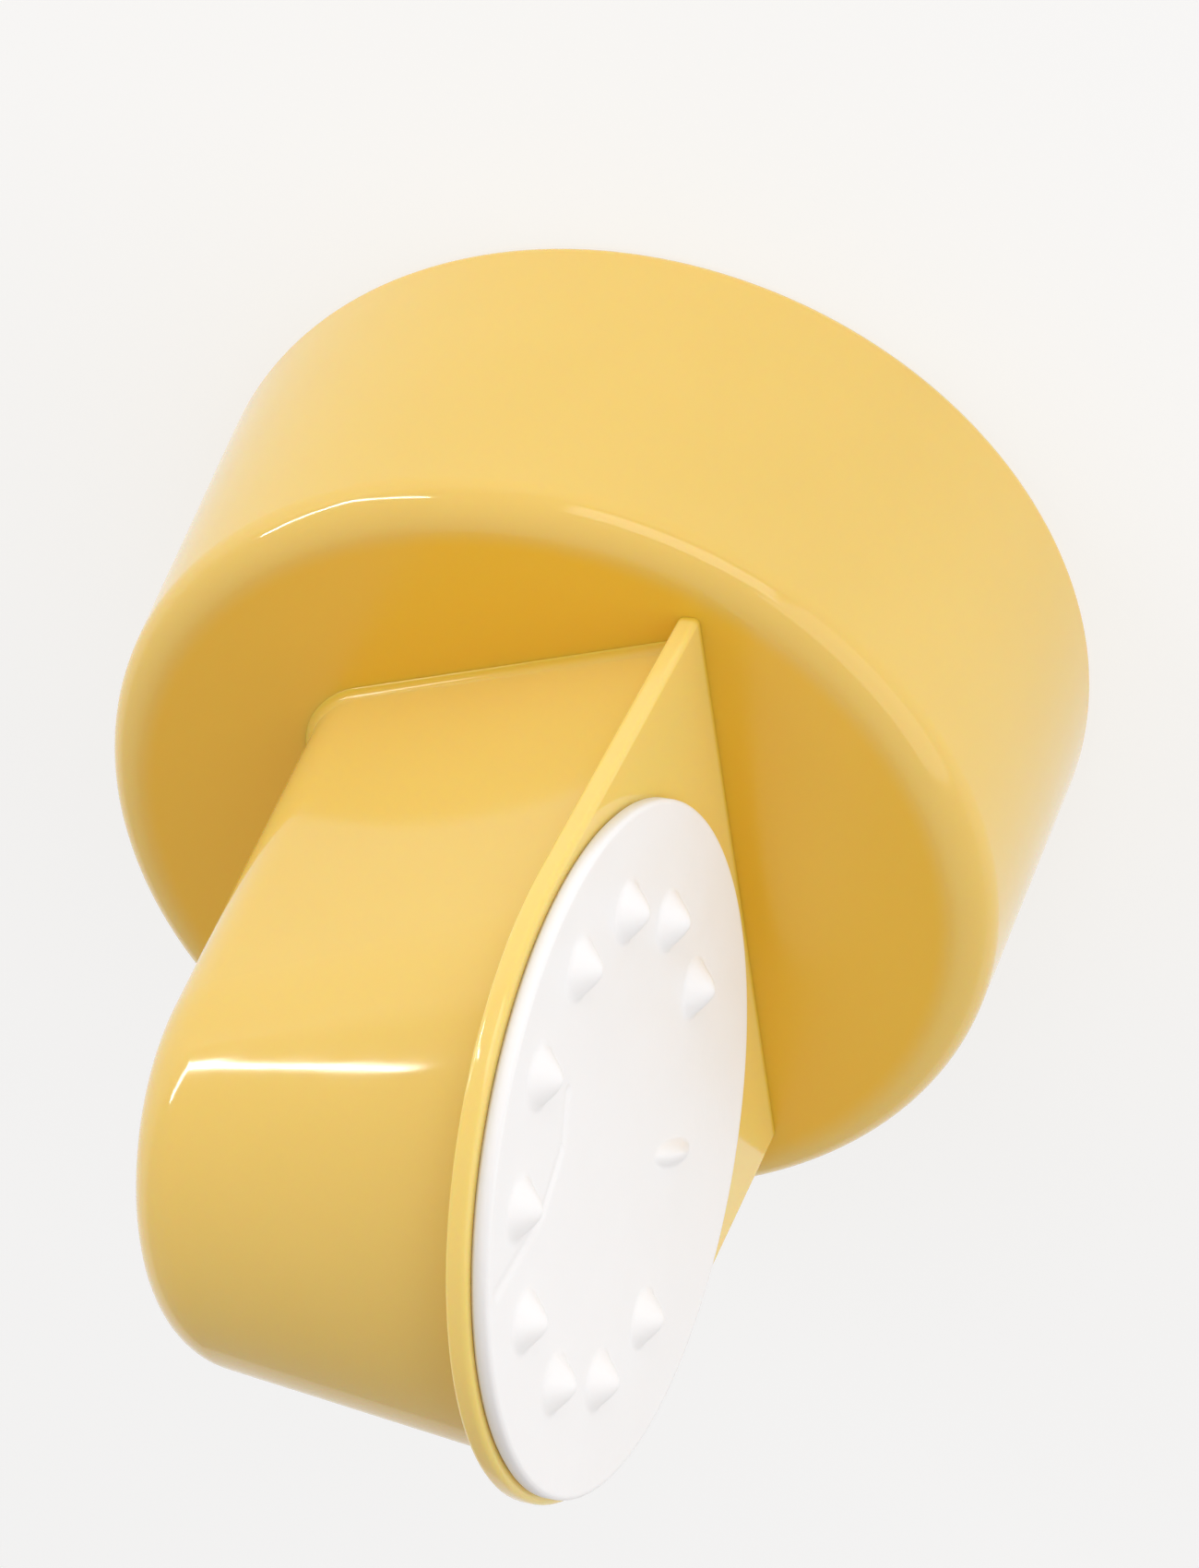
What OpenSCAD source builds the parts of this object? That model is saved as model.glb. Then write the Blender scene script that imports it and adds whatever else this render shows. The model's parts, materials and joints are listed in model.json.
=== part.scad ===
// One-way valve head with a snap-in membrane. Millimetres, +Z up.
// The part stands on the mouth of its round socket: the origin is the centre of the
// mouth's rim, and the valve housing rises from the socket's closed end.

/* [Socket] */
// Outside diameter of the socket at its closed end
cup_d = 26; // [20:0.5:40]
// Height of the socket, from the mouth's rim to the outside of its floor
cup_h = 11.4; // [8:0.2:20]
// How much the outside radius grows from the closed end to the mouth
cup_flare = 0.6; // [0:0.1:1.5]
// Wall of the socket at its closed end
cup_wall = 1.3; // [0.8:0.1:2.4]
// Thickness of the floor that carries the housing
cup_floor = 1.5; // [0.8:0.1:2.4]
// Rounding of the outer edge at the closed end
cup_round = 1.1; // [0.4:0.1:2]
// Depth of the chamfer that leads the stem into the socket
lead_in = 0.6; // [0.2:0.1:1.2]

/* [Seat] */
// How far the flange stands out past the membrane at its sides
seat_margin = 0.3; // [0.1:0.1:1]
// How far the flange runs on past the membrane at its rounded end
seat_end = 0.1; // [0:0.1:1]
// Thickness of the flange
seat_t = 0.6; // [0.5:0.05:2]
// How far the flange stands out past the housing's walls
seat_lip = 1.0; // [0.3:0.1:2]
// Distance from the socket's axis to the seat's face at the floor
seat_x = 5.9; // [4:0.1:8]
// Lean of the seat towards the axis, in degrees
seat_lean = 4.6; // [0:0.2:8]

/* [Housing] */
// Wall of the housing
house_wall = 1.2; // [0.8:0.1:2]
// Distance from the socket's axis to the back of the housing
back_x = 6.1; // [4:0.1:8]
// How far each side wall draws in from the flange to the back
back_draw = 3.0; // [0:0.1:4]
// How much shorter the housing is at its back than behind the flange
back_drop = 1.5; // [0:0.1:4]
// Rounding of the edge around the housing's back
back_round = 1.8; // [0.4:0.1:2]

/* [Membrane] */
// Diameter of the membrane
disc_d = 18.6; // [15:0.1:20]
// Thickness of the membrane
disc_t = 0.5; // [0.3:0.05:1]
// Gap between the floor and the nearest edge of the membrane
disc_gap = 1.2; // [0.4:0.1:4]
// Direction from the membrane's centre to its stem, in degrees from +Y towards +Z
stem_dir = 225; // [180:5:360]
// Distance from the membrane's centre to its stem
stem_off = 3.7; // [2.5:0.1:5]
// Radius of the stem
stem_r = 1.0; // [0.7:0.05:1.4]
// Radial clearance of the stem in its hole
stem_fit = 0.05; // [0.01:0.01:0.1]
// How far the bulb's radius stands out past the hole
bulb_bite = 0.4; // [0.1:0.05:0.8]
// Length of the bulb behind the flange
bulb_len = 2.6; // [1.5:0.1:4]
// Distance from the stem's centre to the line that the free part bends about
bend_off = 1.9; // [1.4:0.1:3]
// Slot that stands for the bending strip between the held and the free part
bend_gap = 0.4; // [0.2:0.05:0.6]

/* [Nubs] */
// Distance from the membrane's edge to the nearest nub's centre
nub_edge = 1.85; // [1:0.05:3]
// How far the nubs' ring is centred off the membrane's middle, away from the stem
nub_shift = 1.1; // [0:0.1:1.5]
// Radius of a nub at its foot
nub_r = 0.75; // [0.3:0.05:1.2]
// Height of a nub
nub_h = 0.5; // [0.2:0.05:1]
// Number of equal places on the ring, of which the two beside the stem stay empty
nub_places = 12; // [8:1:16]

/* [Ports] */
// Radius of one flow port
port_r = 1.5; // [0.5:0.1:1.5]
// Land between a port's edge and the inside of the housing's wall
port_land = 0.9; // [0.4:0.1:2]
// Number of ports on the arc
port_count = 5; // [3:1:5]
// Angle between neighbouring ports, in degrees
port_step = 44; // [36:1:46]

/* [Hidden] */
$fn = 96;
HULL_FN = 40;      // facets of the outlines that a hull joins
SLICE = 0.2;       // thickness of the slices that a hull joins
SINK = 0.02;       // how deep a nub's foot reaches into the membrane
BELOW = 3;         // how far outlines run on below the floor before they are cut
ROUND_STEPS = 4;   // slices around the housing's back edge

bore_r = cup_d / 2 - cup_wall;
lead_r = 0.4;                                // extra radius at the chamfer's mouth
hole_r = stem_r + stem_fit;
bulb_r = hole_r + bulb_bite;
disc_z = disc_gap + disc_d / 2;              // along the seat, from the floor
seat_w = disc_d + 2 * seat_margin;
seat_len = disc_gap + disc_d + seat_end;
wall_w = seat_w - 2 * seat_lip;              // the housing just behind the flange
wall_len = seat_len - seat_lip;
back_w = wall_w - 2 * back_draw;             // the housing at its back
back_len = wall_len - back_drop;
bend_y = stem_off - bend_off;                // the bending line, towards the stem
nub_ring = disc_d / 2 - nub_edge - nub_shift;
nub_step = 360 / nub_places;
port_ring = wall_w / 2 - house_wall - port_r - port_land;
YELLOW = "#F0CE74";
WHITE = "#F4F1EE";

// Outline with straight sides and a round far end, from below the floor to length l
module tombstone(w, l) {
    translate([-w / 2, -BELOW]) square([w, l - w / 2 + BELOW]);
    translate([0, l - w / 2]) circle(d = w);
}

// Stands an outline up in the Y-Z plane and gives it a thickness t along +X
module upright(t) {
    rotate([90, 0, 90]) linear_extrude(t) children();
}

// The seat's own frame: X out of its face, Z along it, origin at the floor
module on_seat() {
    translate([seat_x, 0, cup_h]) rotate([0, -seat_lean, 0]) children();
}

// The membrane's frame on the seat: Y points from its centre to its stem
module on_disc() {
    on_seat() translate([0, 0, disc_z]) rotate([stem_dir, 0, 0]) children();
}

// Keeps what stands above the socket's floor
module above_floor() {
    difference() {
        children();
        translate([-cup_d, -cup_d, cup_h - cup_d]) cube([2 * cup_d, 2 * cup_d, cup_d]);
    }
}

// Wedge from the flange to the housing's back, with every side moved in by inset, its
// back edge rounded by edge, and its front run on by out towards the seat's face
module wedge(inset, edge, out) {
    hull() {
        on_seat() translate([-seat_t - SLICE, 0, 0]) upright(SLICE + out)
            tombstone(wall_w - 2 * inset, wall_len - inset, $fn = HULL_FN);
        for (i = [edge > 0 ? 0 : ROUND_STEPS : ROUND_STEPS]) {
            a = 90 * i / ROUND_STEPS;
            in = inset + edge * (1 - cos(a));
            translate([-back_x + inset + edge * (1 - sin(a)), 0, cup_h]) upright(SLICE)
                tombstone(back_w - 2 * in, back_len - in, $fn = HULL_FN);
        }
    }
}

// Passage through the floor, as wide as the housing's inside
module floor_passage() {
    front = seat_x - seat_t / cos(seat_lean);
    back = -back_x + house_wall;
    translate([0, 0, cup_h - cup_floor - 1]) linear_extrude(cup_floor + 2)
        polygon([[back, -back_w / 2 + house_wall], [front, -wall_w / 2 + house_wall],
                 [front, wall_w / 2 - house_wall], [back, back_w / 2 - house_wall]]);
}

module socket_cup() {
    color(YELLOW) difference() {
        rotate_extrude() difference() {
            union() {
                polygon([[0, 0], [cup_d / 2 + cup_flare, 0], [cup_d / 2, cup_h - cup_round],
                         [0, cup_h - cup_round]]);
                translate([0, cup_h - 2 * cup_round]) square([cup_d / 2 - cup_round, 2 * cup_round]);
                translate([cup_d / 2 - cup_round, cup_h - cup_round]) circle(r = cup_round);
            }
            translate([0, -1]) square([bore_r, cup_h - cup_floor + 1]);
            polygon([[0, -1], [bore_r + lead_r * (1 + 1 / lead_in), -1], [bore_r, lead_in],
                     [0, lead_in]]);
        }
        floor_passage();
    }
}

module valve_housing() {
    color(YELLOW) above_floor() difference() {
        wedge(0, back_round, 0);
        wedge(house_wall, 0, seat_t / 2);
    }
}

module seat_plate() {
    color(YELLOW) difference() {
        above_floor() on_seat() translate([-seat_t, 0, 0])
            upright(seat_t) tombstone(seat_w, seat_len);
        on_disc() translate([-seat_t - 1, stem_off, 0]) rotate([0, 90, 0])
            cylinder(r = hole_r, h = seat_t + 2);
        ports();
    }
}

// Flow ports in an arc on the side away from the stem
module ports() {
    for (i = [0 : port_count - 1]) {
        a = 180 + (i - (port_count - 1) / 2) * port_step;
        on_disc() translate([-seat_t - 1, port_ring * cos(a), port_ring * sin(a)])
            rotate([0, 90, 0]) cylinder(r = port_r, h = seat_t + 2);
    }
}

// Nubs on their ring, all but the two beside the stem
module nubs() {
    for (i = [1 : nub_places - 2]) {
        a = (i + 0.5) * nub_step;
        translate([disc_t - SINK, nub_ring * cos(a) - nub_shift, nub_ring * sin(a)])
            rotate([0, 90, 0]) cylinder(r1 = nub_r, r2 = nub_r / 4, h = nub_h + SINK);
    }
}

// The part of the disc, nubs and all, between two distances from its centre to the stem
module disc_part(y0, y1) {
    intersection() {
        union() {
            rotate([0, 90, 0]) cylinder(d = disc_d, h = disc_t);
            nubs();
        }
        translate([-1, y0, -disc_d]) cube([disc_t + nub_h + 2, y1 - y0, 2 * disc_d]);
    }
}

module membrane_root() {
    color(WHITE) on_disc() {
        disc_part(bend_y + bend_gap / 2, disc_d);
        translate([-seat_t, stem_off, 0]) rotate([0, 90, 0])
            cylinder(r = stem_r, h = seat_t + disc_t / 2);
    }
}

module membrane_bulb() {
    color(WHITE) on_disc() translate([-seat_t, stem_off, 0]) rotate([0, -90, 0])
        rotate_extrude() polygon([[0, 0], [stem_r, 0], [stem_r, stem_fit], [bulb_r, bulb_bite + stem_fit],
                                  [bulb_r, bulb_len / 2], [stem_r / 2, bulb_len], [0, bulb_len]]);
}

module membrane_flap() {
    color(WHITE) on_disc() disc_part(-disc_d, bend_y - bend_gap / 2);
}

socket_cup();
valve_housing();
seat_plate();
membrane_root();
membrane_bulb();
membrane_flap();
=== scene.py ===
import json
import math

import bmesh
import bpy
from mathutils import Matrix, Vector
from mathutils.geometry import intersect_point_line


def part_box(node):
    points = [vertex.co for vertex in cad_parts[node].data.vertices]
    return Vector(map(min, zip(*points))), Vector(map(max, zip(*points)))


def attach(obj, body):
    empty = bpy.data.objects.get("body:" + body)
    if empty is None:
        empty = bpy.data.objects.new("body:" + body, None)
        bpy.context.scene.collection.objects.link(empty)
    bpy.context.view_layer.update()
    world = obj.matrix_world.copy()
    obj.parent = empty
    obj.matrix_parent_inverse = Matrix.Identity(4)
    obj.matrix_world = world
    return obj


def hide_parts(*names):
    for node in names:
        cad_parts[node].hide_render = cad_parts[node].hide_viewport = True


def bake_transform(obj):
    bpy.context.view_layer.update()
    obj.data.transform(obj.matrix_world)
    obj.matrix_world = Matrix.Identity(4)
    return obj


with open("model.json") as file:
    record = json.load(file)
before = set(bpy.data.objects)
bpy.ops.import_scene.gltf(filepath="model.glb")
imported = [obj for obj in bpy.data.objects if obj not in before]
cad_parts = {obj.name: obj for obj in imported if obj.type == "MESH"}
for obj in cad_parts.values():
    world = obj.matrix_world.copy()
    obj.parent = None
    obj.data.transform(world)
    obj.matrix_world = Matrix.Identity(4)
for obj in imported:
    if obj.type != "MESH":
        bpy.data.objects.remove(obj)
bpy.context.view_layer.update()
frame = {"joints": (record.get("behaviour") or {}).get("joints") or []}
MM = 0.001


# ---- Viewpoint ----
# The part stands on its mouth, and the eye is above and behind its left shoulder, with
# the head tipped right over, so that the round socket comes out at the top.
view_azimuth = math.radians(155.2)
view_elevation = math.radians(46.03)
view_roll = math.radians(203.1)
view_distance = 131.7 * MM
view_centre = Vector((1.47, 1.71, 9.40)) * MM

towards_eye = Vector((
    math.sin(view_azimuth) * math.cos(view_elevation),
    -math.cos(view_azimuth) * math.cos(view_elevation),
    math.sin(view_elevation),
))
lens = bpy.data.cameras.new("view")
lens.lens = 107
lens.clip_start = 0.005
lens.clip_end = 5
camera = bpy.data.objects.new("view", lens)
bpy.context.scene.collection.objects.link(camera)
camera.matrix_world = (
    Matrix.Translation(view_centre + towards_eye * view_distance)
    @ (-towards_eye).to_track_quat("-Z", "Y").to_matrix().to_4x4()
    @ Matrix.Rotation(view_roll, 4, "Z")
)
bpy.context.scene.camera = camera


# ---- Yellow plastic ----
# The head is one moulding in a yellow polypropylene: glossy, a little waxy, and clear
# enough that light sinks in; the deeper, warmer yellow at its floor is painted shade.
def speckle(tree, scale, detail, low, high):
    """A soft random pattern on the piece, between two values, as a number."""
    place = tree.nodes.new("ShaderNodeTexCoord")
    noise = tree.nodes.new("ShaderNodeTexNoise")
    noise.inputs["Scale"].default_value = scale
    noise.inputs["Detail"].default_value = detail
    spread = tree.nodes.new("ShaderNodeMapRange")
    spread.inputs["From Min"].default_value = 0.3
    spread.inputs["From Max"].default_value = 0.7
    spread.inputs["To Min"].default_value = low
    spread.inputs["To Max"].default_value = high
    tree.links.new(place.outputs["Object"], noise.inputs["Vector"])
    tree.links.new(noise.outputs["Fac"], spread.inputs["Value"])
    return spread.outputs["Result"]


def mottled(tree, base, other, share):
    """Two near colours, mixed by a pattern."""
    mix = tree.nodes.new("ShaderNodeMix")
    mix.data_type = "RGBA"
    mix.inputs["A"].default_value = (*base, 1)
    mix.inputs["B"].default_value = (*other, 1)
    tree.links.new(share, mix.inputs["Factor"])
    return mix.outputs["Result"]


def relief(tree, height, depth):
    """A bump that raises the surface by depth metres where the pattern is 1."""
    bump = tree.nodes.new("ShaderNodeBump")
    bump.inputs["Strength"].default_value = 1
    bump.inputs["Distance"].default_value = depth
    tree.links.new(height, bump.inputs["Height"])
    return bump.outputs["Normal"]


def new_material(name):
    material = bpy.data.materials.new(name)
    material.use_nodes = True
    return material, material.node_tree, material.node_tree.nodes["Principled BSDF"]


def rising(tree, source, start, end):
    """A number that climbs softly from 0 to 1 as another goes from start to end."""
    step = tree.nodes.new("ShaderNodeMapRange")
    step.interpolation_type = "SMOOTHSTEP"
    step.inputs["From Min"].default_value = start
    step.inputs["From Max"].default_value = end
    tree.links.new(source, step.inputs["Value"])
    return step.outputs["Result"]


def product(tree, first, second):
    """Two numbers multiplied."""
    times = tree.nodes.new("ShaderNodeMath")
    times.operation = "MULTIPLY"
    tree.links.new(first, times.inputs[0])
    tree.links.new(second, times.inputs[1])
    return times.outputs["Value"]


def polypropylene(name, base, other):
    """The head's plastic: two near shades mixed at random, with a deeper yellow painted as shade at
    the floor.
    """
    material, tree, shader = new_material(name)
    floor_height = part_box("socket_cup")[1].z
    deep_radius, pale_radius = 11.4 * MM, 12.3 * MM
    fade_below, fade_above, skin = 0.60 * MM, 0.25 * MM, 0.02 * MM
    place = tree.nodes.new("ShaderNodeTexCoord")
    axes = tree.nodes.new("ShaderNodeSeparateXYZ")
    tree.links.new(place.outputs["Object"], axes.inputs["Vector"])
    across = tree.nodes.new("ShaderNodeVectorMath")
    across.operation = "MULTIPLY"
    across.inputs[1].default_value = (1, 1, 0)
    tree.links.new(place.outputs["Object"], across.inputs[0])
    radius = tree.nodes.new("ShaderNodeVectorMath")
    radius.operation = "LENGTH"
    tree.links.new(across.outputs["Vector"], radius.inputs[0])
    height = axes.outputs["Z"]
    # painted shade: the floor's outside face and the housing's foot get a deeper, warmer yellow
    # that stands in for the shade and yellow bounce light there
    up_to_floor = rising(tree, height, floor_height - fade_below, floor_height - skin)
    down_to_floor = rising(tree, height, floor_height + fade_above, floor_height + skin)
    in_from_edge = rising(tree, radius.outputs["Value"], pale_radius, deep_radius)
    at_floor = product(tree, in_from_edge, product(tree, up_to_floor, down_to_floor))
    clouds = speckle(tree, 120, 3, 0, 1)
    plain = mottled(tree, base, other, clouds)
    # the painted shade colour, mixed in where the floor mask is high
    painted_floor_shade = tree.nodes.new("ShaderNodeMix")
    painted_floor_shade.data_type = "RGBA"
    painted_floor_shade.inputs["B"].default_value = (0.80, 0.485, 0.039, 1)
    tree.links.new(plain, painted_floor_shade.inputs["A"])
    tree.links.new(at_floor, painted_floor_shade.inputs["Factor"])
    tree.links.new(painted_floor_shade.outputs["Result"], shader.inputs["Base Color"])
    # the mould is polished less finely at the floor than at the sides
    gloss = tree.nodes.new("ShaderNodeMix")
    gloss.inputs["B"].default_value = 0.24
    tree.links.new(at_floor, gloss.inputs["Factor"])
    tree.links.new(speckle(tree, 900, 4, 0.07, 0.11), gloss.inputs["A"])
    tree.links.new(gloss.outputs["Result"], shader.inputs["Roughness"])
    tree.links.new(relief(tree, speckle(tree, 260, 2, 0, 1), 0.003 * MM), shader.inputs["Normal"])
    shader.inputs["IOR"].default_value = 1.49
    shader.inputs["Subsurface Weight"].default_value = 0.5
    shader.inputs["Subsurface Radius"].default_value = (1.0, 0.5, 0.12)
    shader.inputs["Subsurface Scale"].default_value = 0.6 * MM
    return material


yellow = polypropylene("head_polypropylene", (0.775, 0.543, 0.136), (0.755, 0.525, 0.127))


# ---- Socket ----
# A round cup that pushes onto the stem under the pump. Its wall flares a little towards
# the mouth, its closed end has a full round edge, and its floor opens into the housing.
socket_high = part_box("socket_cup")[1]
socket_height = socket_high.z
mouth_radius = socket_high.x
closed_radius = 13.0 * MM
bore_radius = 11.7 * MM
floor_thickness = 1.5 * MM
lead_in_depth = 0.6 * MM
lead_in_width = 0.4 * MM
closed_edge_round = 1.1 * MM
mouth_round = 0.35 * MM
lead_in_round = 0.15 * MM
inner_corner_round = 0.5 * MM
web_radius = 9.6 * MM
TURNS = 192


def new_piece(name, bm, material, smooth_below=40):
    """Turns a finished bmesh into an object, smooth but for its sharp edges."""
    bmesh.ops.recalc_face_normals(bm, faces=bm.faces[:])
    for face in bm.faces:
        face.smooth = True
    for edge in bm.edges:
        if edge.is_manifold:
            edge.smooth = edge.calc_face_angle() < math.radians(smooth_below)
    mesh = bpy.data.meshes.new(name)
    bm.to_mesh(mesh)
    bm.free()
    mesh.materials.append(material)
    piece = bpy.data.objects.new(name, mesh)
    bpy.context.scene.collection.objects.link(piece)
    return piece


def flat_faces(piece):
    """Keeps large flat faces flat in the gloss, with the turn of light only on the rounds."""
    weighted = piece.modifiers.new("flat_faces", "WEIGHTED_NORMAL")
    weighted.keep_sharp = True
    weighted.weight = 100


def wire(bm, points):
    """A chain of edges through a few points."""
    made = [bm.verts.new(point) for point in points]
    return made, [bm.edges.new(pair) for pair in zip(made, made[1:])]


def round_ring(bm, radius, height, width, segments):
    """Rounds the circular edge that lies at that radius and height."""
    ring = [
        edge for edge in bm.edges
        if all(
            abs(vert.co.z - height) < 1e-6 and abs(math.hypot(vert.co.x, vert.co.y) - radius) < 1e-6
            for vert in edge.verts
        )
    ]
    bmesh.ops.bevel(
        bm, geom=ring, offset=width, segments=segments, profile=0.5, affect="EDGES",
        material=-1, clamp_overlap=True,
    )


def passage_loop(bm, height):
    """The outline of the way through the floor, at a height: a tapered slot, its corners round."""
    back, front = -4.9 * MM, 5.25 * MM
    back_half, front_half = 4.4 * MM, 7.35 * MM
    corner_round = 1.0 * MM
    corners = [(back, -back_half), (front, -front_half), (front, front_half), (back, back_half)]
    verts = [bm.verts.new((x, y, height)) for x, y in corners]
    bm.faces.new(verts)
    bmesh.ops.bevel(
        bm, geom=verts, offset=corner_round, segments=6, profile=0.5, affect="VERTICES",
        material=-1,
    )
    face = max(bm.faces, key=lambda f: len(f.verts))
    edges = list(face.edges)
    bmesh.ops.delete(bm, geom=[face], context="FACES_ONLY")
    return edges


def socket():
    bm = bmesh.new()
    floor_inside = socket_height - floor_thickness
    profile, edges = wire(bm, [
        (web_radius, 0, socket_height),
        (closed_radius, 0, socket_height),
        (mouth_radius, 0, 0),
        (bore_radius + lead_in_width, 0, 0),
        (bore_radius, 0, lead_in_depth),
        (bore_radius, 0, floor_inside),
        (web_radius, 0, floor_inside),
    ])
    bmesh.ops.spin(
        bm, geom=profile + edges, cent=(0, 0, 0), axis=(0, 0, 1), angle=math.tau,
        steps=TURNS, use_merge=True,
    )
    round_ring(bm, closed_radius, socket_height, closed_edge_round, 10)
    round_ring(bm, mouth_radius, 0, mouth_round, 5)
    round_ring(bm, bore_radius + lead_in_width, 0, lead_in_round, 3)
    round_ring(bm, bore_radius, floor_inside, inner_corner_round, 5)
    rims = {
        height: [
            edge for edge in bm.edges
            if edge.is_boundary and all(abs(vert.co.z - height) < 1e-6 for vert in edge.verts)
        ]
        for height in (socket_height, floor_inside)
    }
    slots = {height: passage_loop(bm, height) for height in rims}
    for height, rim in rims.items():
        bmesh.ops.triangle_fill(bm, use_beauty=True, edges=rim + slots[height])
    bmesh.ops.bridge_loops(bm, edges=slots[socket_height] + slots[floor_inside])
    return new_piece("socket", bm, yellow)


socket_piece = socket()
flat_faces(socket_piece)
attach(socket_piece, "head")
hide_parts("socket_cup")


# ---- Valve housing ----
# A hollow, wedge-shaped box with a round end, moulded onto the socket's floor. Its walls
# draw in from the flange to a rounded back, and the milk falls through it to the ports.
joints = {joint["name"]: joint for joint in frame["joints"]}
seat_normal = Vector(joints["membrane_pull"]["axis"])
seat_lean = math.atan2(seat_normal.z, seat_normal.x)
seat_foot = Vector((5.9 * MM, 0, socket_height))
flange_thickness = 0.6 * MM
flange_half = 9.6 * MM
flange_length = 20.0 * MM
flange_lip = 1.0 * MM
back_distance = 6.1 * MM
back_draw = 3.0 * MM
back_drop = 1.5 * MM
back_round = 1.8 * MM
housing_wall = 1.2 * MM
foot_round = 0.30 * MM
foot_sink = 0.03 * MM
seat_frame = Matrix.Translation(seat_foot) @ Matrix.Rotation(-seat_lean, 4, "Y")
ARC = 64
BELOW = 12 * MM


def tombstone(bm, half, length, x):
    """An upright outline at distance x: straight sides from below the floor, and a round end."""
    round_centre = length - half
    start = bm.verts.new((x, half, round_centre))
    arc = bmesh.ops.spin(
        bm, geom=[start], cent=(x, 0, round_centre), axis=(1, 0, 0), angle=math.pi, steps=ARC,
    )
    end = next(item for item in arc["geom_last"] if isinstance(item, bmesh.types.BMVert))
    for tip in (start, end):
        foot = bm.verts.new((x, tip.co.y, -BELOW))
        bm.edges.new((foot, tip))
    return [vert for vert in bm.verts if abs(vert.co.x - x) < 1e-7]


def cut_at_floor(bm, fill):
    """Cuts away what is below the socket's floor, and closes the cut if asked."""
    cut = bmesh.ops.bisect_plane(
        bm, geom=bm.verts[:] + bm.edges[:] + bm.faces[:], dist=1e-7,
        plane_co=(0, 0, socket_height), plane_no=(0, 0, 1), clear_inner=True,
    )
    if fill:
        edges = [item for item in cut["geom_cut"] if isinstance(item, bmesh.types.BMEdge)]
        bmesh.ops.edgenet_fill(bm, edges=edges)


def flare_foot(bm):
    """Turns the walls out and a hair into the floor, with a small hollow round."""
    for part in (1, 0.72, 0.46, 0.26, 0.12):
        bmesh.ops.bisect_plane(
            bm, geom=bm.verts[:] + bm.edges[:] + bm.faces[:], dist=1e-8,
            plane_co=(0, 0, socket_height + part * foot_round), plane_no=(0, 0, 1),
        )
    bm.normal_update()
    moves = []
    for vert in bm.verts:
        drop = 1 - (vert.co.z - socket_height) / foot_round
        if drop > 0:
            move = Vector((vert.normal.x, vert.normal.y, 0)).normalized()
            move *= foot_round * (1 - math.sqrt(max(0, 1 - drop ** 2)))
            if drop > 0.999:
                move.z = -foot_sink
            moves.append((vert, move))
    for vert, move in moves:
        vert.co += move


def housing():
    bm = bmesh.new()
    front_half = flange_half - flange_lip
    front_length = flange_length - flange_lip
    front = tombstone(bm, front_half, front_length, -flange_thickness)
    bmesh.ops.transform(bm, matrix=seat_frame, verts=front)
    back = bmesh.ops.extrude_edge_only(bm, edges=bm.edges[:])["geom"]
    back_verts = [item for item in back if isinstance(item, bmesh.types.BMVert)]
    # brings the copied outline upright at the back, and draws it in about its round centre
    back_half = front_half - back_draw
    back_length = front_length - back_drop
    shrink = back_half / front_half
    to_back = (
        Matrix.Translation((-back_distance, 0, socket_height + back_length - back_half))
        @ Matrix.Scale(shrink, 4)
        @ Matrix.Translation((flange_thickness, 0, front_half - front_length))
        @ seat_frame.inverted()
    )
    bmesh.ops.transform(bm, matrix=to_back, verts=back_verts)
    back_edges = [
        edge for edge in bm.edges
        if all(abs(vert.co.x + back_distance) < 1e-7 for vert in edge.verts)
    ]
    bmesh.ops.contextual_create(bm, geom=back_verts)
    bmesh.ops.recalc_face_normals(bm, faces=bm.faces[:])
    bmesh.ops.bevel(
        bm, geom=back_edges, offset=back_round, segments=10, profile=0.5, affect="EDGES",
        material=-1,
    )
    cut_at_floor(bm, False)
    bmesh.ops.recalc_face_normals(bm, faces=bm.faces[:])
    flare_foot(bm)
    piece = new_piece("housing", bm, yellow, 50)
    wall = piece.modifiers.new("wall", "SOLIDIFY")
    wall.thickness = housing_wall
    wall.offset = -1
    wall.use_even_offset = True
    return piece


housing_piece = housing()
flat_faces(housing_piece)
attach(housing_piece, "head")
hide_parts("valve_housing")


# ---- Seat flange ----
# The flat face that the membrane lies on. It closes the front of the housing, stands out
# past its walls as a thin lip, and has the flow ports and the hole for the stem.
flange_edge_round = 0.17 * MM
bend = joints["flap_lift"]
bend_axis = Vector(bend["axis"])
to_stem = bend_axis.cross(seat_normal)
bend_offset = 1.8 * MM
stem_offset = 3.7 * MM
stem_hole_radius = 1.05 * MM
port_radius = 1.5 * MM
port_ring = 5.0 * MM
port_step = math.radians(44)
drill_length = 4 * MM
membrane_centre = Vector(bend["pos_m"]) - to_stem * bend_offset
# the membrane's own frame: X towards its stem, Y along the bending line, Z out of the seat
disc_frame = Matrix.Translation(membrane_centre) @ Matrix((
    (to_stem.x, bend_axis.x, seat_normal.x),
    (to_stem.y, bend_axis.y, seat_normal.y),
    (to_stem.z, bend_axis.z, seat_normal.z),
)).to_4x4()


# painted light: the flange's copy of the plastic is paler, standing in for more light on its face
lit_flange_yellow = polypropylene("flange_polypropylene_painted_light", (0.83, 0.625, 0.18), (0.81, 0.605, 0.17))


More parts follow.
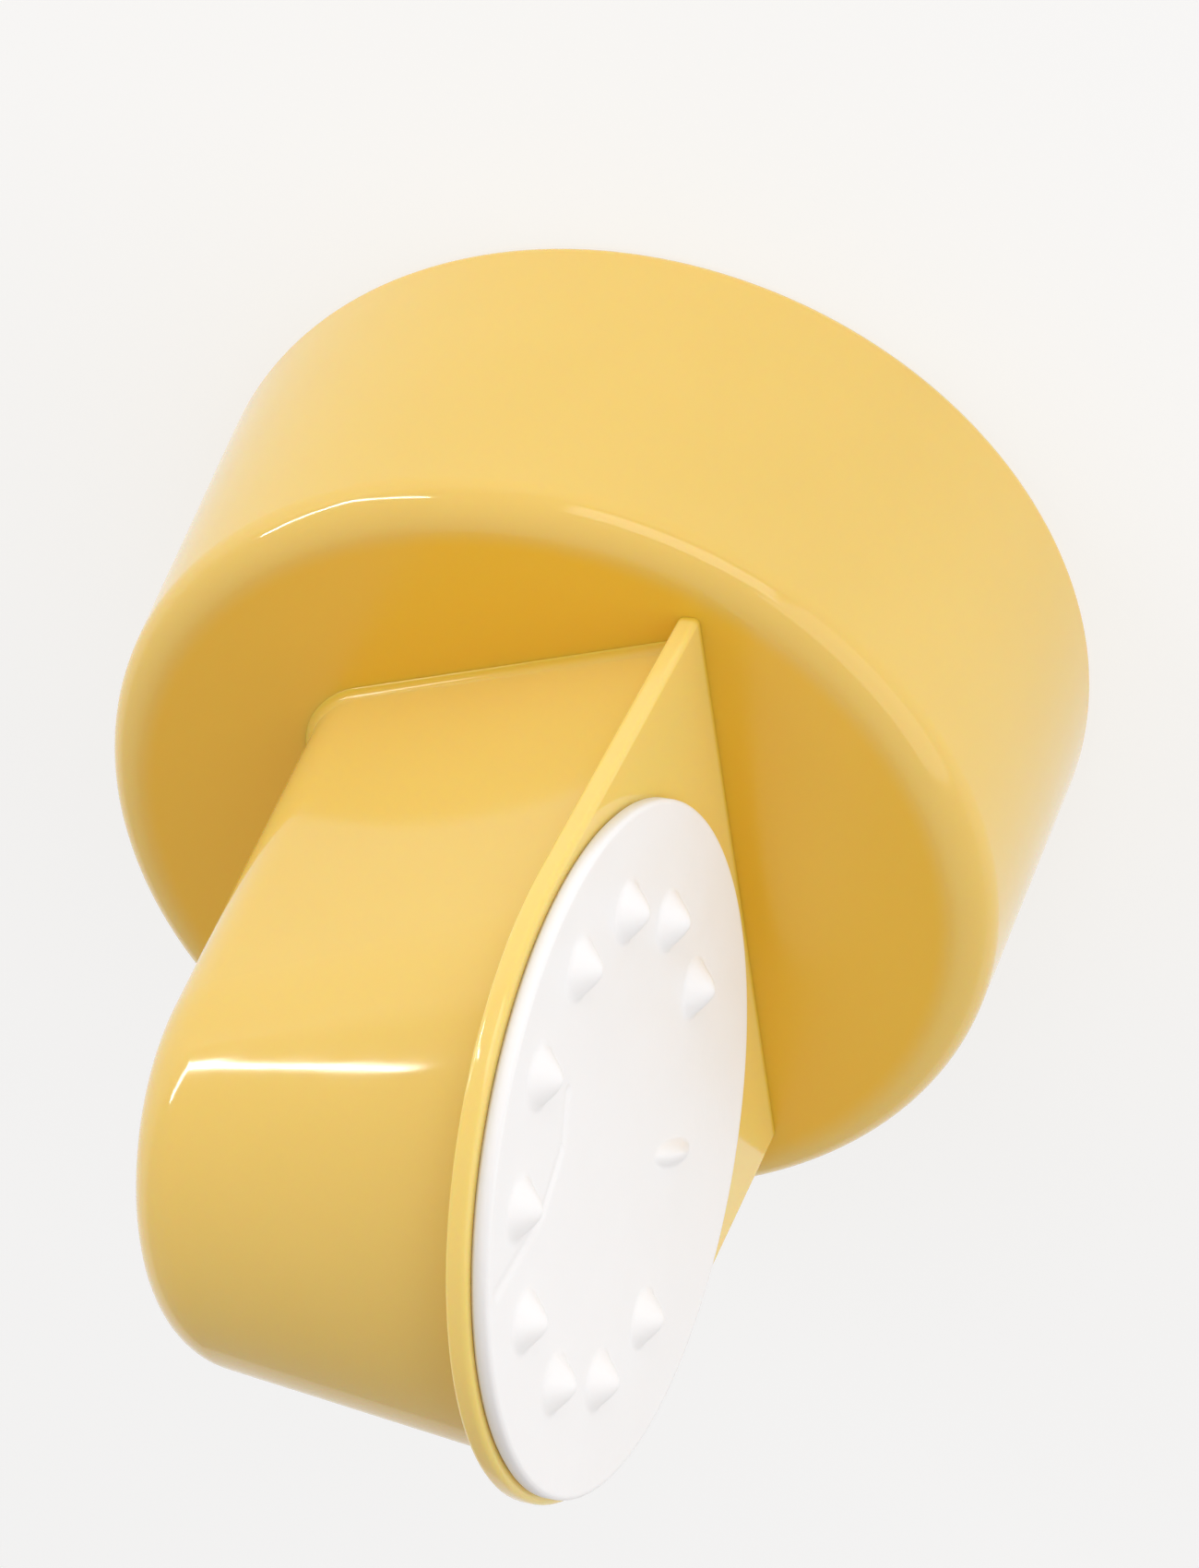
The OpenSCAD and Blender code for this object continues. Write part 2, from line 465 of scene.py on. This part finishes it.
def flange():
    bm = bmesh.new()
    face_verts = tombstone(bm, flange_half, flange_length, 0)
    plate = bmesh.ops.contextual_create(bm, geom=face_verts)["faces"]
    back = bmesh.ops.extrude_face_region(bm, geom=plate)["geom"]
    back_verts = [item for item in back if isinstance(item, bmesh.types.BMVert)]
    bmesh.ops.translate(bm, verts=back_verts, vec=(-flange_thickness, 0, 0))
    bmesh.ops.recalc_face_normals(bm, faces=bm.faces[:])
    rims = [edge for edge in bm.edges if edge.calc_face_angle() > math.radians(60)]
    rims = [edge for edge in rims if abs(edge.verts[0].co.x - edge.verts[1].co.x) < 1e-7]
    bmesh.ops.bevel(
        bm, geom=rims, offset=flange_edge_round, segments=4, profile=0.5, affect="EDGES",
        material=-1,
    )
    bmesh.ops.transform(bm, matrix=seat_frame, verts=bm.verts[:])
    cut_at_floor(bm, True)
    return new_piece("flange", bm, lit_flange_yellow, 35)


def drill(piece, radius, x, y):
    """Cuts a round hole through a piece, at a place in the membrane's frame."""
    bm = bmesh.new()
    bmesh.ops.create_cone(
        bm, cap_ends=True, segments=64, radius1=radius, radius2=radius, depth=drill_length,
        matrix=disc_frame @ Matrix.Translation((x, y, 0)),
    )
    cutter = new_piece("drill", bm, lit_flange_yellow)
    hole = piece.modifiers.new("hole", "BOOLEAN")
    hole.operation = "DIFFERENCE"
    hole.solver = "EXACT"
    hole.object = cutter
    bpy.context.view_layer.update()
    drilled = bpy.data.meshes.new_from_object(
        piece.evaluated_get(bpy.context.evaluated_depsgraph_get())
    )
    piece.modifiers.clear()
    piece.data = drilled
    bpy.data.objects.remove(cutter)


flange_piece = flange()
drill(flange_piece, stem_hole_radius, stem_offset, 0)
for step in range(-2, 3):
    turn = math.pi + step * port_step
    drill(flange_piece, port_radius, port_ring * math.cos(turn), port_ring * math.sin(turn))
flat_faces(flange_piece)
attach(flange_piece, "head")
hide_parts("seat_plate")


# ---- Membrane ----
# A thin disc of white silicone that lies on the flange and lifts off the ports to let the
# milk out. A ring of small nubs stands on its face, but for the two places by the stem.
def silicone():
    material, tree, shader = new_material("membrane_silicone")
    clouds = speckle(tree, 160, 3, 0, 1)
    tree.links.new(
        mottled(tree, (0.87, 0.86, 0.862), (0.855, 0.845, 0.845), clouds),
        shader.inputs["Base Color"],
    )
    tree.links.new(speckle(tree, 700, 4, 0.42, 0.56), shader.inputs["Roughness"])
    tree.links.new(relief(tree, speckle(tree, 1500, 3, 0, 1), 0.006 * MM), shader.inputs["Normal"])
    shader.inputs["IOR"].default_value = 1.41
    shader.inputs["Subsurface Weight"].default_value = 0.12
    shader.inputs["Subsurface Radius"].default_value = (1.0, 0.8, 0.7)
    shader.inputs["Subsurface Scale"].default_value = 0.3 * MM
    return material


white = silicone()
membrane_radius = 9.3 * MM
membrane_thickness = 0.5 * MM
lip_round = 0.12 * MM
nub_ring_radius = 6.35 * MM
nub_ring_shift = 1.1 * MM
nub_radius = 0.85 * MM
nub_height = 0.62 * MM
nub_places = 12
mark_length = 2.8 * MM
mark_width = 0.75 * MM
mark_height = 0.30 * MM
mark_turn = math.radians(5.5)
crease = [Vector(point) * MM for point in ((-5.1, 1.5), (-4.8, 0), (-5.6, -1.9), (-8.0, -3.85))]
crease_depth = 0.07 * MM
crease_width = 0.13 * MM
RIM = 384
RINGS = 110
UNDER_RINGS = 23


def grow_ring(bm, edges, radius, height):
    """Carries the open edge of a disc on to another radius and height."""
    ring = bmesh.ops.extrude_edge_only(bm, edges=edges)["geom"]
    verts = [item for item in ring if isinstance(item, bmesh.types.BMVert)]
    now = verts[0].co.to_2d().length
    bmesh.ops.scale(bm, verts=verts, vec=(radius / now, radius / now, 1))
    bmesh.ops.translate(bm, verts=verts, vec=(0, 0, height - verts[0].co.z))
    return [item for item in ring if isinstance(item, bmesh.types.BMEdge)]


def nub_centres():
    step = math.tau / nub_places
    for place in range(1, nub_places - 1):
        turn = (place + 0.5) * step
        yield Vector((
            nub_ring_radius * math.cos(turn) - nub_ring_shift,
            nub_ring_radius * math.sin(turn),
        ))


def face_height(x, y):
    """How far the membrane's outer face stands above its plain level."""
    spot = Vector((x, y))
    height = 0
    for centre in nub_centres():
        away = (spot - centre).length / nub_radius
        if away < 1:
            height = max(height, nub_height * (1 - away ** 1.6) ** 1.2)
    # the little ridge that the mould's gate leaves over the stem
    ridge = Matrix.Rotation(-mark_turn, 2) @ (spot - Vector((stem_offset, 0)))
    away = math.hypot(2 * ridge.x / mark_length, 2 * ridge.y / mark_width)
    if away < 1:
        height += mark_height * (1 - away ** 1.6)
    for start, end in zip(crease, crease[1:]):
        foot, along = intersect_point_line(spot, start, end)
        if 0 <= along <= 1:
            height -= crease_depth * math.exp(-((spot - foot).length / crease_width) ** 2)
    return height


def membrane():
    bm = bmesh.new()
    step = membrane_radius / RINGS
    bmesh.ops.create_circle(bm, cap_ends=True, cap_tris=True, segments=RIM, radius=step)
    bmesh.ops.translate(bm, verts=bm.verts[:], vec=(0, 0, membrane_thickness))
    edge = [e for e in bm.edges if e.is_boundary]
    for ring in range(2, RINGS):
        edge = grow_ring(bm, edge, ring * step, membrane_thickness)
    for part in range(1, 5):
        turn = part * math.pi / 8
        edge = grow_ring(
            bm, edge,
            membrane_radius - lip_round * (1 - math.sin(turn)),
            membrane_thickness - lip_round * (1 - math.cos(turn)),
        )
    edge = grow_ring(bm, edge, membrane_radius, lip_round)
    edge = grow_ring(bm, edge, membrane_radius - lip_round, 0)
    for ring in range(UNDER_RINGS - 1, 0, -1):
        edge = grow_ring(bm, edge, membrane_radius * ring / UNDER_RINGS, 0)
    bmesh.ops.contextual_create(bm, geom=edge)
    for vert in bm.verts:
        if vert.co.z > membrane_thickness * 0.99:
            vert.co.z += face_height(vert.co.x, vert.co.y)
    bmesh.ops.transform(bm, matrix=disc_frame, verts=bm.verts[:])
    return new_piece("membrane", bm, white, 50)


membrane_piece = membrane()
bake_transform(membrane_piece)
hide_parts("membrane_root", "membrane_flap")


# ---- Membrane stem ----
# The stem is moulded in one with the membrane. Its bulb is squeezed through the hole in
# the flange and opens out behind it, and it is pulled back out to wash the membrane.
stem_radius = 1.0 * MM
bulb_radius = 1.45 * MM
bulb_tip_radius = 0.5 * MM
bulb_shoulder = 0.05 * MM
bulb_widest = 0.45 * MM
bulb_waist = 1.3 * MM
bulb_length = 2.6 * MM


def stem():
    bm = bmesh.new()
    back = -flange_thickness
    profile, edges = wire(bm, [
        (0, 0, membrane_thickness / 2),
        (stem_radius, 0, membrane_thickness / 2),
        (stem_radius, 0, back - bulb_shoulder),
        (bulb_radius, 0, back - bulb_widest),
        (bulb_radius, 0, back - bulb_waist),
        (bulb_tip_radius, 0, back - bulb_length),
        (0, 0, back - bulb_length),
    ])
    bmesh.ops.spin(
        bm, geom=profile + edges, cent=(0, 0, 0), axis=(0, 0, 1), angle=math.tau, steps=48,
        use_merge=True,
    )
    bmesh.ops.remove_doubles(bm, verts=bm.verts[:], dist=1e-6)
    round_ring(bm, bulb_radius, back - bulb_widest, 0.2 * MM, 4)
    round_ring(bm, bulb_radius, back - bulb_waist, 0.35 * MM, 4)
    round_ring(bm, bulb_tip_radius, back - bulb_length, 0.25 * MM, 4)
    bmesh.ops.transform(
        bm, matrix=disc_frame @ Matrix.Translation((stem_offset, 0, 0)), verts=bm.verts[:],
    )
    return new_piece("membrane_stem", bm, white)


stem_piece = stem()
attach(stem_piece, "membrane")
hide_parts("membrane_bulb")


# ---- Studio ----
# A pale floor under an even white sky. A soft panel lights the front and another the right,
# and two low strips of light draw the thin glints along the part's rounded edges.
drum_middle = Vector((0, 6, 25))


def floor_material():
    material, tree, shader = new_material("pale_floor")
    tree.links.new(
        mottled(tree, (0.30, 0.30, 0.30), (0.29, 0.29, 0.29), speckle(tree, 20, 2, 0, 1)),
        shader.inputs["Base Color"],
    )
    shader.inputs["Roughness"].default_value = 0.9
    shader.inputs["Specular IOR Level"].default_value = 0.1
    # a light box under the floor's sheet keeps shadows faint
    shader.inputs["Emission Color"].default_value = (1, 1, 1, 1)
    shader.inputs["Emission Strength"].default_value = 0.665
    return material


def pale_floor():
    half_width, gap = 3, 0.05 * MM
    bm = bmesh.new()
    bmesh.ops.create_grid(bm, x_segments=1, y_segments=1, size=half_width)
    bmesh.ops.translate(bm, verts=bm.verts[:], vec=(0, 0, -gap))
    new_piece("pale_floor", bm, floor_material())


pale_floor()


def panel(name, place, along, size, brightness):
    """A soft rectangular light, in millimetres, its first side along a direction."""
    light = bpy.data.lights.new(name, "AREA")
    light.shape = "RECTANGLE"
    light.size, light.size_y = size[0] * MM, size[1] * MM
    light.energy = brightness * math.pi * light.size * light.size_y
    lamp = bpy.data.objects.new(name, light)
    bpy.context.scene.collection.objects.link(lamp)
    back = (Vector(place) - drum_middle).normalized()
    up = back.cross(Vector(along)).normalized()
    turn = Matrix((up.cross(back), up, back)).transposed().to_4x4()
    lamp.matrix_world = Matrix.Translation(Vector(place) * MM) @ turn


panel("drum_strip", (-153, 193, 66), (0.673, 0.262, 0.692), (107, 5), 55)
panel("edge_strip", (-206, 146, 46), (-0.54, -0.82, 0.20), (105, 9), 38)
panel("front_panel", (119, 261, 115), (-0.91, 0.42, 0), (250, 130), 2.2)
panel("right_panel", (272, 64, 135), (-0.2, 0.98, 0), (290, 250), 1.17)

sky = bpy.data.worlds.new("sky")
sky.use_nodes = True
sky.node_tree.nodes["Background"].inputs["Color"].default_value = (1, 0.97, 0.95, 1)
sky.node_tree.nodes["Background"].inputs["Strength"].default_value = 0.61
bpy.context.scene.world = sky
bpy.context.scene.view_settings.view_transform = "Standard"
